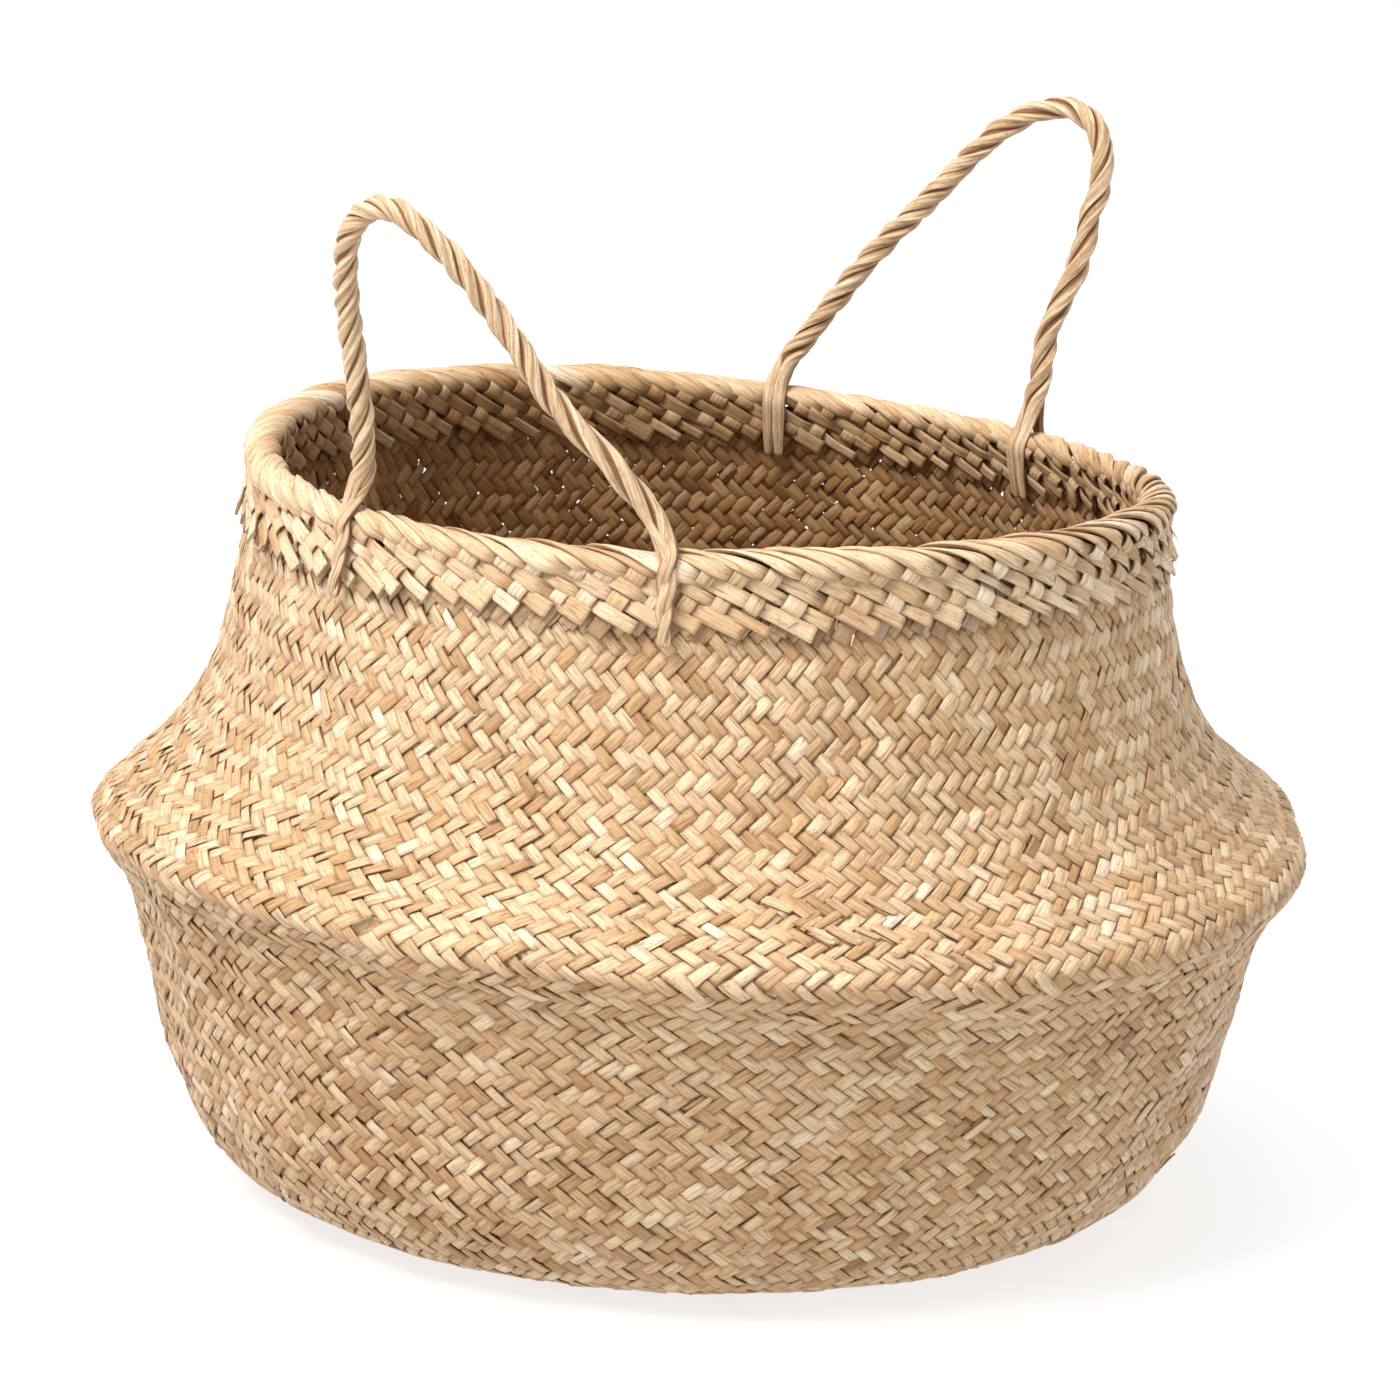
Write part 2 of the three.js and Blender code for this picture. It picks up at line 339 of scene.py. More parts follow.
# Where each kind of strand starts in the noise of its streaks, and how far on the next strand is.
GRAIN_STARTS = {
    "wall": (0, 5.3),
    "mat": (0, 7.7),
    "wraps": (400, 9.1),
    "outer_crossings": (1200, 11.3),
    "inner_crossings": (600, 11.3),
    "splices": (2000, 3.3),
    "fibres": (0, 2.9),
    "front_handle": (0, 50),
    "back_handle": (700, 50),
}
BACK_GRAIN = 20  # a strand's back starts this far from its front

# Painted shadow on a rope's ply, in its own folds and towards the middle of the rope.
FOLD_PAINTED_SHADOW = 3.2
FOLD_PAINTED_SHADOW_MOST = 0.6
GROOVE_START = 0.34
GROOVE_PAINTED_SHADOW = 1.7
FLAT_SHARE = 0.6  # how much less of this painted shadow there is where a ply lies flat

# Painted shadow on a wrap under a crossing strand, at its edges and on its back, and how much painted shade
# it has inside the mouth.
WRAP_UNDER_PAINTED_SHADOW = 0.6
WRAP_EDGE_PAINTED_SHADOW = 1.1
WRAP_BACK_PAINTED_SHADOW = 0.3
WRAP_INSIDE_PAINTED_SHADE = 0.7

# The same for a crossing strand under the wraps.
CROSS_UNDER_PAINTED_SHADOW = 0.8
CROSS_OVER_GAIN = 1.6
CROSS_EDGE_PAINTED_SHADOW = 0.9
CROSS_INSIDE_PAINTED_SHADE = 0.8
SPLICE_PAINTED_SHADOW = 0.6

# Dried seagrass, from its darkest blades to its palest.
STRAW_TONES = [
    (0.0, (0.36, 0.195, 0.075)),
    (0.3, (0.55, 0.34, 0.155)),
    (0.55, (0.68, 0.48, 0.28)),
    (0.8, (0.79, 0.62, 0.42)),
    (1.0, (0.87, 0.74, 0.57)),
]
STREAK_SHADE = [(0.30, (0.66, 0.54, 0.41)), (0.5, (1.0, 1.0, 1.0)), (0.72, (1.09, 1.10, 1.13))]
FIBRE_SHADE = [(0.30, (0.70, 0.58, 0.45)), (0.50, (1.0, 1.0, 1.0)), (0.8, (1.05, 1.05, 1.05))]
CRACK_SHADE = [(0.0, (0.66, 0.53, 0.40)), (0.018, (1.0, 1.0, 1.0))]
# Painted shadow in crevices, under other strands, at edges and on backs, and how strongly it shows.
PAINTED_SHADOW_COLOUR = (0.34, 0.21, 0.11, 1)
PAINTED_SHADOW_STRENGTH = 0.75
# Painted shade, darker and warmer, inside the basket and on the wall under the fold.
PAINTED_WARM_SHADE_COLOUR = (0.65, 0.52, 0.35, 1)

# The noises' scales along a strand, across it and from strand to strand, and their detail.
STREAK_NOISE = ((0.08, 1.5, 1.0), 3)
FIBRE_NOISE = ((0.30, 7.0, 1.0), 2)
CRACK_NOISE = ((0.11, 0.9, 1.3), 1)
NOISE_ROUGHNESS = 0.6
NOISE_RANGE = (0.3, 0.7)  # most of a noise lies between these
NOISE_MIDDLE = 0.5
ROUGHNESS = (0.62, 0.40)  # of a dark streak and of a pale one
FIBRE_RELIEF = 0.6
BUMP_STRENGTH = 0.6
BUMP_DISTANCE = 0.0006  # metres
SPECULAR = 0.5
SHEEN = 0.08

STRIP_MARGIN = 0.06  # the empty edge of each strip's row in the texture map
MAP_MARGIN = 0.01
CAP_REACH = 0.004

# ---- The stage. Its floor and lights are in metres ----

VIEW_DISTANCE = 1500.0
VIEW_TARGET = (-0.66, 0.0, 127.7)
VIEW_ELEVATION = math.radians(13.65)
VIEW_ROLL = math.radians(1.75)
LENS = 147.0
SENSOR = 36.0
NEAREST = 0.1

WHITE = (1, 1, 1, 1)
WORLD_STRENGTH = 0.68
FLOOR_HALF_SIZE = 6.0
FLOOR_SHADE = (0.3, 0.3, 0.3, 1)
FLOOR_ROUGHNESS = 0.9
FLOOR_GLOW = 0.74
LIT_POINT = (0, 0, 0.11)
SOFTBOX_SIZE = 0.8
SOFTBOXES = [("key_softbox", (-0.75, -0.75, 1.55), 38), ("top_softbox", (0.1, 0.1, 1.6), 7)]

SEED = 20
PHASES = 6.3  # a random phase lies anywhere in about a full turn

# Each kind of randomness has its own number, counted from 1.
KINDS = ["wall", "unevenness", "mat", "wraps", "crossings", "ropes", "splices", "fibres"]


def rolls(kind, *key):
    """A random generator of its own for each piece, the same at each run."""
    return np.random.default_rng((SEED, 1 + KINDS.index(kind), *key))


# ---- Lines ----


def unit(vectors):
    return vectors / np.linalg.norm(vectors, axis=-1, keepdims=True)


def running_total(steps):
    """The sum so far, from 0 before the first step."""
    return np.concatenate([[0], np.cumsum(steps)])


def lengths_along(points):
    """How far along a line each of its points is."""
    return running_total(np.linalg.norm(np.diff(points, axis=0), axis=1))


def rows_at(places, known, rows):
    """Each column of the rows, read off at these places."""
    return np.stack([np.interp(places, known, column) for column in rows.T], axis=1)


def with_ends(points):
    """The points with one more at each end, straight on from the last two."""
    p = np.array(points, float)
    return np.vstack([2 * p[0] - p[1], p, 2 * p[-1] - p[-2]])


def spline(points, steps):
    """A smooth line through points, with this many steps between neighbours."""
    p = with_ends(points)
    t = np.linspace(0, 1, steps, endpoint=False)[:, None]
    pieces = []
    for a, b, c, d in zip(p[:-3], p[1:-2], p[2:-1], p[3:]):
        bend = (2 * a - 5 * b + 4 * c - d) * t**2 + (3 * b - a - 3 * c + d) * t**3
        pieces.append(b + ((c - a) * t + bend) / 2)
    return np.vstack([*pieces, p[-2:-1]])


def between(a, b, knot_a, knot_b, t):
    """The straight way from a to b, each reached at its own knot."""
    return (a * (knot_b - t) + b * (t - knot_a)) / (knot_b - knot_a)


def centripetal(points, steps):
    """The CAD model's curve: Catmull-Rom with knots spaced by the root of the points' distances."""
    p = with_ends(points)
    pieces = []
    for a, b, c, d in zip(p[:-3], p[1:-2], p[2:-1], p[3:]):
        gaps = [math.sqrt(math.dist(a, b)), math.sqrt(math.dist(b, c)), math.sqrt(math.dist(c, d))]
        k0, k1, k2, k3 = running_total(gaps)
        t = np.linspace(k1, k2, steps, endpoint=False)[:, None]
        ab = between(a, b, k0, k1, t)
        bc = between(b, c, k1, k2, t)
        cd = between(c, d, k2, k3, t)
        abc = between(ab, bc, k0, k2, t)
        bcd = between(bc, cd, k1, k3, t)
        pieces.append(between(abc, bcd, k1, k2, t))
    return np.vstack([*pieces, p[-2:-1]])


def resample(points, step):
    """The same line with its points at even distances, and the distance of each along it."""
    p = np.array(points, float)
    along = lengths_along(p)
    even = np.linspace(0, along[-1], max(2, round(along[-1] / step) + 1))
    return rows_at(even, along, p), even


def soften(points, reach, step):
    """Rounds a line's corners by averaging over about this reach, with its ends kept."""
    if reach <= 0:
        return points
    half = int(SOFTENING_SPAN * reach / step)
    weights = np.exp(-0.5 * (np.arange(-half, half + 1) * step / reach) ** 2)
    weights /= weights.sum()
    before = 2 * points[0] - points[half:0:-1]
    after = 2 * points[-1] - points[-2:-half - 2:-1]
    padded = np.vstack([before, points, after])
    return np.stack([np.convolve(column, weights, "valid") for column in padded.T], axis=1)


def smooth_step(share):
    return share**2 * (3 - 2 * share)


def plateau(distance, reach):
    """From 1 near the middle to 0 past this reach, with a flat top."""
    return np.exp(-((distance / reach) ** 4))


def wavy(run, lengths, rng, count):
    """A wave along each strand, from -1 to 1, with a length and a phase of its own."""
    return np.sin(run / rng.uniform(*lengths, count) + rng.uniform(0, PHASES, count))


# ---- The basket's shape ----


def hand_made_height(radius, height, turn):
    """The height of a point once the fold and rim have wandered from level, as in the CAD model."""
    below = np.clip(height / CREASE_HEIGHT, 0, 1)
    above = np.maximum(0, (height - CREASE_HEIGHT) / (RIM_TOP - CREASE_HEIGHT))
    wave = (CREASE_WAVE * below * (1 - above) + RIM_WAVE * above) * np.sin(2 * turn)
    tilt = RIM_TILT * above * (radius / RIM_RADIUS) * np.cos(turn)
    return height + wave - tilt


def place(radius, height, turn):
    z = hand_made_height(radius, height, turn)
    return np.stack([radius * np.cos(turn), radius * np.sin(turn), z], axis=-1)


def neck_radius(height):
    return NECK_FOOT_RADIUS + NECK_SLOPE * (height - NECK_FOOT_HEIGHT)


class Section:
    """A line of radius and height, with its outward side, that strands run over."""

    def __init__(self, outline, softness=0.0):
        line, _ = resample(outline, PROFILE_STEP)
        line = soften(line, softness, PROFILE_STEP)
        self.line, self.along = resample(line, PROFILE_STEP)
        slope = unit(np.gradient(self.line, axis=0))
        self.side = np.stack([slope[:, 1], -slope[:, 0]], axis=1)

    def at(self, along, lift):
        """The radius and height of points this far along it, lifted outwards."""
        radius, height = (np.interp(along, self.along, self.line[:, i]) for i in (0, 1))
        outwards, upwards = (np.interp(along, self.along, self.side[:, i]) for i in (0, 1))
        return radius + lift * outwards, height + lift * upwards

    def turned(self, slant):
        """How far round a strand of this slant to level has gone at each place along the section."""
        rate = 1 / (np.tan(slant) * self.line[:, 0])
        return running_total((rate[1:] + rate[:-1]) / 2 * np.diff(self.along))


def wall_section():
    """The middle of the wall, from under the base mat's edge up to the rim."""
    lower = [(BASE_RADIUS, 0)]
    lower += [(CREASE_RADIUS - inset, CREASE_HEIGHT * share) for inset, share in LOWER_WALL_BEND]
    lower += [(CREASE_RADIUS, CREASE_HEIGHT)]
    reach = CREASE_RADIUS - NECK_FOOT_RADIUS
    upper = [(CREASE_RADIUS, CREASE_HEIGHT)]
    for out, up in SHOULDER_BEND:
        upper.append((NECK_FOOT_RADIUS + reach * out, CREASE_HEIGHT + SHOULDER_RISE * up))
    upper += [(NECK_FOOT_RADIUS, NECK_FOOT_HEIGHT)]
    outline = [spline(lower, OUTLINE_STEPS), spline(upper, OUTLINE_STEPS)[1:], [(NECK_TOP_RADIUS, WALL_TOP)]]
    outside = Section(np.vstack(outline), FOLD_SOFTNESS)
    middle = outside.line - outside.side * WALL / 2
    under_mat = [(BASE_RADIUS - UNDER_MAT, WALL / 2 + FOOT_GAP)]
    return Section(np.vstack([under_mat, middle[FOOT_SKIP:]]))


def unevenness(turn, along):
    """A gentle hand-made bumpiness of a wall: a few long waves, the same all the way round."""
    rng = rolls("unevenness")
    total = np.zeros(np.broadcast(turn, along).shape)
    for _ in range(BUMPS):
        lobes = rng.integers(*BUMP_LOBES)
        length = rng.uniform(*BUMP_LENGTHS)
        phase = rng.uniform(0, 2 * math.pi, 2)
        total += np.sin(lobes * turn + phase[0]) * np.sin(2 * math.pi * along / length + phase[1])
    return total * WOBBLE / math.sqrt(BUMPS / 2) * np.clip(along / EVEN_FOOT, 0, 1) ** 2


# ---- Meshes of strips ----


def add_object(name, data):
    obj = bpy.data.objects.new(name, data)
    bpy.context.scene.collection.objects.link(obj)
    return obj


def strip_mesh(name, points, grain, tone, painted_shadow, painted_warm_shade, material):
    """One mesh of closed strips. points is strips x stations x sides x 3, and the rest follow it."""
    strips, stations, sides, _ = points.shape
    index = np.arange(strips * stations * sides).reshape(strips, stations, sides)
    here, there = index[:, :-1], index[:, 1:]
    quads = np.stack([here, there, np.roll(there, -1, axis=2), np.roll(here, -1, axis=2)], axis=-1)
    caps = np.stack([index[:, 0], index[:, -1, ::-1]], axis=1)
    first = points[0].reshape(-1, 3)
    a, b, c = (first[quads[0, ..., i].reshape(-1)] for i in (0, 1, 2))
    if np.einsum("ij,ij->i", a, np.cross(b, c)).sum() < 0:
        quads = quads[..., ::-1]
        caps = caps[..., ::-1]
    corners = np.concatenate([quads.reshape(-1), caps.reshape(-1)])
    count = quads.size // 4
    totals = np.concatenate([np.full(count, 4), np.full(2 * strips, sides)])
    starts = running_total(totals)[:-1]
    smooth = np.arange(totals.size) < count

    mesh = bpy.data.meshes.new(name)
    mesh.vertices.add(index.size)
    mesh.vertices.foreach_set("co", (points * MM).astype(np.float32).ravel())
    mesh.loops.add(corners.size)
    mesh.loops.foreach_set("vertex_index", corners.astype(np.int32))
    mesh.polygons.add(totals.size)
    mesh.polygons.foreach_set("loop_start", starts.astype(np.int32))
    mesh.polygons.foreach_set("loop_total", totals.astype(np.int32))
    mesh.polygons.foreach_set("use_smooth", smooth)
    mesh.update(calc_edges=True)
    mesh.validate()

    layer = mesh.attributes.new("grain", "FLOAT_VECTOR", "POINT")
    layer.data.foreach_set("vector", grain.astype(np.float32).ravel())
    # The painted shadow and the painted shade go in as attributes that the material reads.
    for attribute, values in (("tone", tone), ("painted_shadow", painted_shadow), ("painted_warm_shade", painted_warm_shade)):
        layer = mesh.attributes.new(attribute, "FLOAT", "POINT")
        values = np.broadcast_to(values, points.shape[:3])
        layer.data.foreach_set("value", values.astype(np.float32).ravel())
    write_map(mesh, points, corners, quads.size)

    mesh.materials.append(material)
    obj = add_object(name, mesh)
    return obj


def write_map(mesh, points, corners, quad_corners):
    """A texture map that gives each strip a row of its own: its length across, its girth up."""
    strips, stations, sides, _ = points.shape
    strip = corners // (stations * sides)
    station = corners // sides % stations
    side = (corners % sides).astype(float)
    sides_of_quad = side[:quad_corners].reshape(-1, 4)
    wraps = sides_of_quad.max(axis=1) - sides_of_quad.min(axis=1) > 1
    sides_of_quad[wraps] = np.where(sides_of_quad[wraps] == 0, sides, sides_of_quad[wraps])
    side[:quad_corners] = sides_of_quad.ravel()
    across = MAP_MARGIN + (1 - 2 * MAP_MARGIN) * station / (stations - 1)
    cap_side = side[quad_corners:]
    end = np.where(station[quad_corners:] == 0, -1.0, 1.0)
    across[quad_corners:] += end * CAP_REACH * (1 + np.sin(2 * math.pi * cap_side / sides))
    up = (strip + STRIP_MARGIN + (1 - 2 * STRIP_MARGIN) * side / sides) / strips
    layer = mesh.uv_layers.new(name="OFBake")
    layer.data.foreach_set("uv", np.stack([across, up], axis=1).astype(np.float32).ravel())


def grain_of(points, kind, number, run, aside):
    """Where points are in the noise of the streaks: along their strand, across it, and the strand's own."""
    first, step = GRAIN_STARTS[kind]
    grain = np.zeros(points.shape)
    grain[..., 0] = run
    grain[..., 1] = aside
    grain[..., 2] = first + step * number
    return grain


def round_strand(aside, thick):
    """How far across a strand points are, with its back a long way from its front."""
    return aside + np.where(thick < 0, BACK_GRAIN, 0)


def tone_of(kind, rng, count):
    tone, spread = TONES[kind]
    return tone + rng.normal(0, spread, count)


# ---- The wall ----


def weave_level(crossing):
    """From 1 where the rising strands are on top to -1 where the falling ones are."""
    wave = np.cos(math.pi * (crossing - FLOAT_MIDDLE) / FLOAT)
    return np.tanh(WEAVE_STEEPNESS * wave) / math.tanh(WEAVE_STEEPNESS)


def weave_stations(stop):
    """The crossings that strands have cross-sections at: more where they change sides."""
    changes = np.arange(-FLOAT, stop + FLOAT, FLOAT) + FIRST_CHANGE
    stations = np.unique((changes[:, None] + STATION_OFFSETS).ravel())
    return stations[(stations >= 0) & (stations <= stop)]


def weave_angles(section):
    """How far round a strand has turned at each place along the section, from its slant there."""
    sine = STRANDS * STRAND_WIDTH / (2 * math.pi * section.line[:, 0])
    return section.turned(np.arcsin(np.clip(sine, *SLANT_SINES)))


def lattice_place(low, high, turned, section):
    """The turn and the place along the section of a point between two strands' numbers."""
    turn = (low + high) * math.pi / STRANDS
    return turn, np.interp((high - low) * math.pi / STRANDS, turned, section.along)


def varied(rng, strands, floats, strand_share, float_share):
    """Random numbers that differ from strand to strand, and a little from float to float."""
    return rng.normal(0, strand_share, (strands, 1)) + rng.normal(0, float_share, (strands, floats))


def woven_painted_shadow(level, thick):
    """Painted shadow on a woven strand where it dips under others, and at its edges."""
    return np.clip(1 - np.abs(level), 0, 1) + EDGE_PAINTED_SHADOW * (thick == 0)


def painted_shade_facing_in(thick):
    """How much painted shade each side of a woven strand gets, by how much it faces into the basket."""
    return np.where(thick < 0, 1.0, np.where(thick == 0, EDGE_FACES_IN, 0.0))


def plait_piece(section, family, part, material):
    """Neighbouring strands of one family of the wall, from under the base up to the rim."""
    rng = rolls("wall", int(family > 0), part)
    turned = weave_angles(section)
    stations = weave_stations(turned[-1] * STRANDS / math.pi)
    strand = (part * STRANDS_PER_PIECE + np.arange(STRANDS_PER_PIECE))[:, None, None]
    which = ((stations - FIRST_CHANGE) // FLOAT).astype(int) + 1
    floats = which.max() + 1
    stations = stations[None, :, None]

    def spread(size):
        return varied(rng, STRANDS_PER_PIECE, floats, *WALL_SPREAD[size])[:, which][:, :, None]

    across, thick = STRAND_SECTION.T
    width = STRAND_FILL * np.clip(1 + spread("width"), *WALL_WIDTHS)
    shift = spread("shift")
    tilt = STRAND_LEAN + spread("tilt")
    lift = spread("lift")
    half_thickness = STRAND_HALF_THICKNESS * np.clip(1 + spread("thickness"), *THICKNESSES)
    ridge = spread("ridge") * (across == 0)

    own = strand + (across + ridge) * width + shift
    other = strand + family * stations
    low, high = (own, other) if family > 0 else (other, own)
    turn, along = lattice_place(low, high, turned, section)
    level = weave_level(stations) * family
    height = WEAVE_LIFT * level + lift + tilt * 2 * across + thick * half_thickness
    points = place(*section.at(along, height + unevenness(turn, along)), turn)

    number = 2 * strand + int(family > 0)
    aside = round_strand(across * STRAND_WIDTH, thick)
    grain = grain_of(points, "wall", number, stations * CROSSING_LENGTH, aside)
    tone = WOVEN_TONE + spread("tone")
    # Painted shade: the strands' inner sides, and the wall under the fold, are painted darker and warmer.
    below = (CREASE_HEIGHT + BELOW_FOLD_BLUR / 2 - points[..., 2]) / BELOW_FOLD_BLUR
    painted_warm_shade = np.maximum(painted_shade_facing_in(thick), BELOW_FOLD_PAINTED_SHADE * np.clip(below, 0, 1))
    name = f"plait_{'rising' if family > 0 else 'falling'}_{part + 1}"
    obj = strip_mesh(name, points, grain, tone, woven_painted_shadow(level, thick), painted_warm_shade, material)
    blend_wall(obj)
    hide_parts("lower_wall", "shoulder_wall", "neck_wall")


def blend_wall(obj):
    """Bakes the piece's place into its mesh."""
    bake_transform(obj)


# ---- The base mat ----


def base_piece(family, material):
    """One family of the mat's straight strands, plaited in nested squares and lying in the wall's foot."""
    rng = rolls("mat", int(family > 0))
    reach = BASE_RADIUS + MAT_OVERLAP
    half = int(reach / STRAND_WIDTH)
    strand = np.arange(-half, half + 1)
    chord = np.sqrt(reach**2 - (strand * STRAND_WIDTH) ** 2) / STRAND_WIDTH
    chord *= 1 + rng.normal(0, MAT_RAGGEDNESS, strand.shape)
    stations = chord[:, None] * np.linspace(-1, 1, MAT_STATIONS)
    which = ((stations + half) // FLOAT).astype(int)
    floats = which.max() + 1

    def spread(size):
        values = varied(rng, len(strand), floats, *MAT_SPREAD[size])
        return np.take_along_axis(values, which, axis=1)[:, :, None]

    across, thick = STRAND_SECTION.T
    width = np.clip(1 + spread("width"), *MAT_WIDTHS)
    own = (strand[:, None, None] + across * width + spread("shift")) * STRAND_WIDTH
    run = np.broadcast_to((stations * STRAND_WIDTH)[:, :, None], own.shape)
    level = weave_level(np.abs(stations) + np.abs(strand)[:, None])[:, :, None] * family
    lift = WEAVE_LIFT * level + spread("lift") + spread("tilt") * 2 * across
    lift = lift + thick * STRAND_HALF_THICKNESS
    u, v = (run, own) if family > 0 else (own, run)
    x, y = (u - v) / math.sqrt(2), (u + v) / math.sqrt(2)
    edge = np.clip((np.hypot(x, y) - BASE_RADIUS + MAT_RISE_REACH) / MAT_RISE_REACH, 0, 1)
    z = WALL / 2 + MAT_GAP - lift + MAT_RISE * smooth_step(edge)
    points = np.stack([x, y, z], axis=-1)

    number = 2 * strand[:, None, None] + int(family > 0)
    grain = grain_of(points, "mat", number, run, round_strand(across * STRAND_WIDTH, thick))
    tone = WOVEN_TONE + spread("tone")
    # Painted shadow where the mat's strands dip under others and at their edges; painted shade on their sides
    # that face into the basket.
    painted_shadow = woven_painted_shadow(level, thick)
    name = "base_mat_warp" if family > 0 else "base_mat_weft"
    obj = strip_mesh(name, points, grain, tone, painted_shadow, painted_shade_facing_in(thick), material)
    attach(obj, "body")
    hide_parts("base_mat")


# ---- The rim ----


def rim_section():
    """Up the inner band, over the rolled edge and down the outer band, with spare below both.

    Also how far along it the inner band's foot, the rim's top and the outer band's foot are.
    """
    inner_foot = WALL_TOP - INNER_BAND_HEIGHT - FOOT_SPARE
    outer_foot = WALL_TOP - OUTER_BAND_HEIGHT - FOOT_SPARE
    inset = WALL + CLEARANCE + BAND_THICKNESS / 2
    outset = CLEARANCE + BAND_THICKNESS / 2
    band_top = WALL_TOP - BAND_TOP_GAP
    line = [(neck_radius(height) - inset, height) for height in (inner_foot, band_top)]
    for turn in EDGE_ARC:
        radius = RIM_RADIUS + (EDGE_HALF_WIDTH - WRAP_HALF_THICKNESS) * math.cos(turn)
        line.append((radius, EDGE_HEIGHT + (EDGE_HALF_HEIGHT - WRAP_HALF_THICKNESS) * math.sin(turn)))
    line += [(neck_radius(height) + outset, height) for height in (band_top, outer_foot)]
    section = Section(line, RIM_SOFTNESS)
    spare = FOOT_SPARE * math.hypot(1, NECK_SLOPE)
    return section, (spare, section.along[section.line[:, 1].argmax()], section.along[-1] - spare)


def wrap_slant(section, top):
    """The strands' slant to level along the rim's section, a little less over its edge."""
    return BAND_SLANT + (EDGE_SLANT - BAND_SLANT) * plateau(section.along - top, EDGE_REACH)


def wrap_turns(section, top):
    """How far round a wrap has gone at each place along the section, from the rim's top."""
    turned = section.turned(wrap_slant(section, top))
    return turned - np.interp(top, section.along, turned)


def near_rows(past_top, reach):
    """From 0 to 1 where a crossing strand lies on top, by the distance from the rim's top."""
    return np.clip(sum(plateau(np.abs(past_top) - row, reach) for row in CROSS_ROWS), 0, 1)


def wraps_piece(section, marks, part, material):
    """Neighbouring strands that come up inside the mouth, roll over its edge and end outside it."""
    inner_foot, top, outer_foot = marks
    rng = rolls("wraps", part)
    strand = (part * WRAPS_PER_PIECE + np.arange(WRAPS_PER_PIECE))[:, None, None]
    count = strand.shape

    def spread(size):
        return rng.normal(0, WRAP_SPREAD[size], count)

    start = inner_foot + rng.uniform(*WRAP_STARTS, count)
    stop = outer_foot + rng.uniform(*WRAP_STOPS, count)
    run = start + (stop - start) * np.linspace(0, 1, WRAP_STATIONS)[None, :, None]
    slant = np.interp(run, section.along, wrap_slant(section, top))
    turned = np.interp(run, section.along, wrap_turns(section, top))
    past_top = run - top - spread("row")
    on_edge = plateau(past_top, EDGE_REACH)

    across, thick = RIBBON_SECTION.T
    spacing = 2 * math.pi * RIM_RADIUS / WRAPS * np.sin(slant)
    swell = 1 + WRAP_SWELL * wavy(run, SWELL_LENGTHS, rng, count)
    fill = np.clip(1 + spread("width"), *WRAP_WIDTHS) + spread("edge_width") * on_edge
    width = spacing * (1 + EDGE_OVERLAP * on_edge) * swell * fill
    aside = across * width + spread("aside") + (run - top) * spread("slant")
    turn = 2 * math.pi * strand / WRAPS + turned - aside * np.sin(slant) / RIM_RADIUS
    along = run + aside * np.cos(slant)

    under = near_rows(past_top, CROSS_REACH)
    lump = spread("lump") * wavy(run, LUMP_LENGTHS, rng, count)
    lift = spread("lift") + WRAP_LIFT * (1 - 2 * under) + (EDGE_LIFT + lump) * on_edge
    curls = rng.uniform(0, 1, count) < CURLED_SHARE
    curled = np.where(curls, rng.uniform(*CURLS, count), rng.uniform(*FLARES, count))
    flare = np.clip((run - stop) / FLARE_LENGTH + 1, 0, 1) ** 2 * curled
    tilt = (WRAP_TILT + EDGE_TILT * on_edge + spread("tilt")) * 2 * across
    half_thickness = WRAP_HALF_THICKNESS * np.clip(1 + spread("thickness"), *THICKNESSES)
    body = thick * half_thickness * (1 + EDGE_BULK * on_edge)
    groove = np.where(rng.uniform(0, 1, count) < DOUBLED_SHARE, DOUBLED_GROOVE, PLAIN_GROOVE)
    groove = groove * np.cos(across * 4 * math.pi) * (thick > 0) * (1 - under)
    points = place(*section.at(along, -(lift + flare + tilt + body - groove)), turn)

    aside = round_strand(across * width, thick)
    grain = grain_of(points, "wraps", strand, run / math.sin(BAND_SLANT), aside)
    tone = tone_of("wraps", rng, count)
    tone = tone + WRAP_TONE_WAVE * np.sin(run / rng.uniform(*WRAP_TONE_LENGTHS, count))
    # Painted shade on the wraps inside the mouth, and painted shadow under the crossing strands, at their
    # edges and on their backs.
    painted_warm_shade = WRAP_INSIDE_PAINTED_SHADE * np.clip((top - run) / EDGE_REACH, 0, 1)
    painted_shadow = WRAP_UNDER_PAINTED_SHADOW * under + WRAP_EDGE_PAINTED_SHADOW * (thick == 0) + WRAP_BACK_PAINTED_SHADOW * (thick < 0)
    obj = strip_mesh(f"rim_wraps_{part + 1}", points, grain, tone, painted_shadow, painted_warm_shade, material)
    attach(obj, "neck")
    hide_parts("rim_band_outer", "rim_band_inner", "rim_edge")


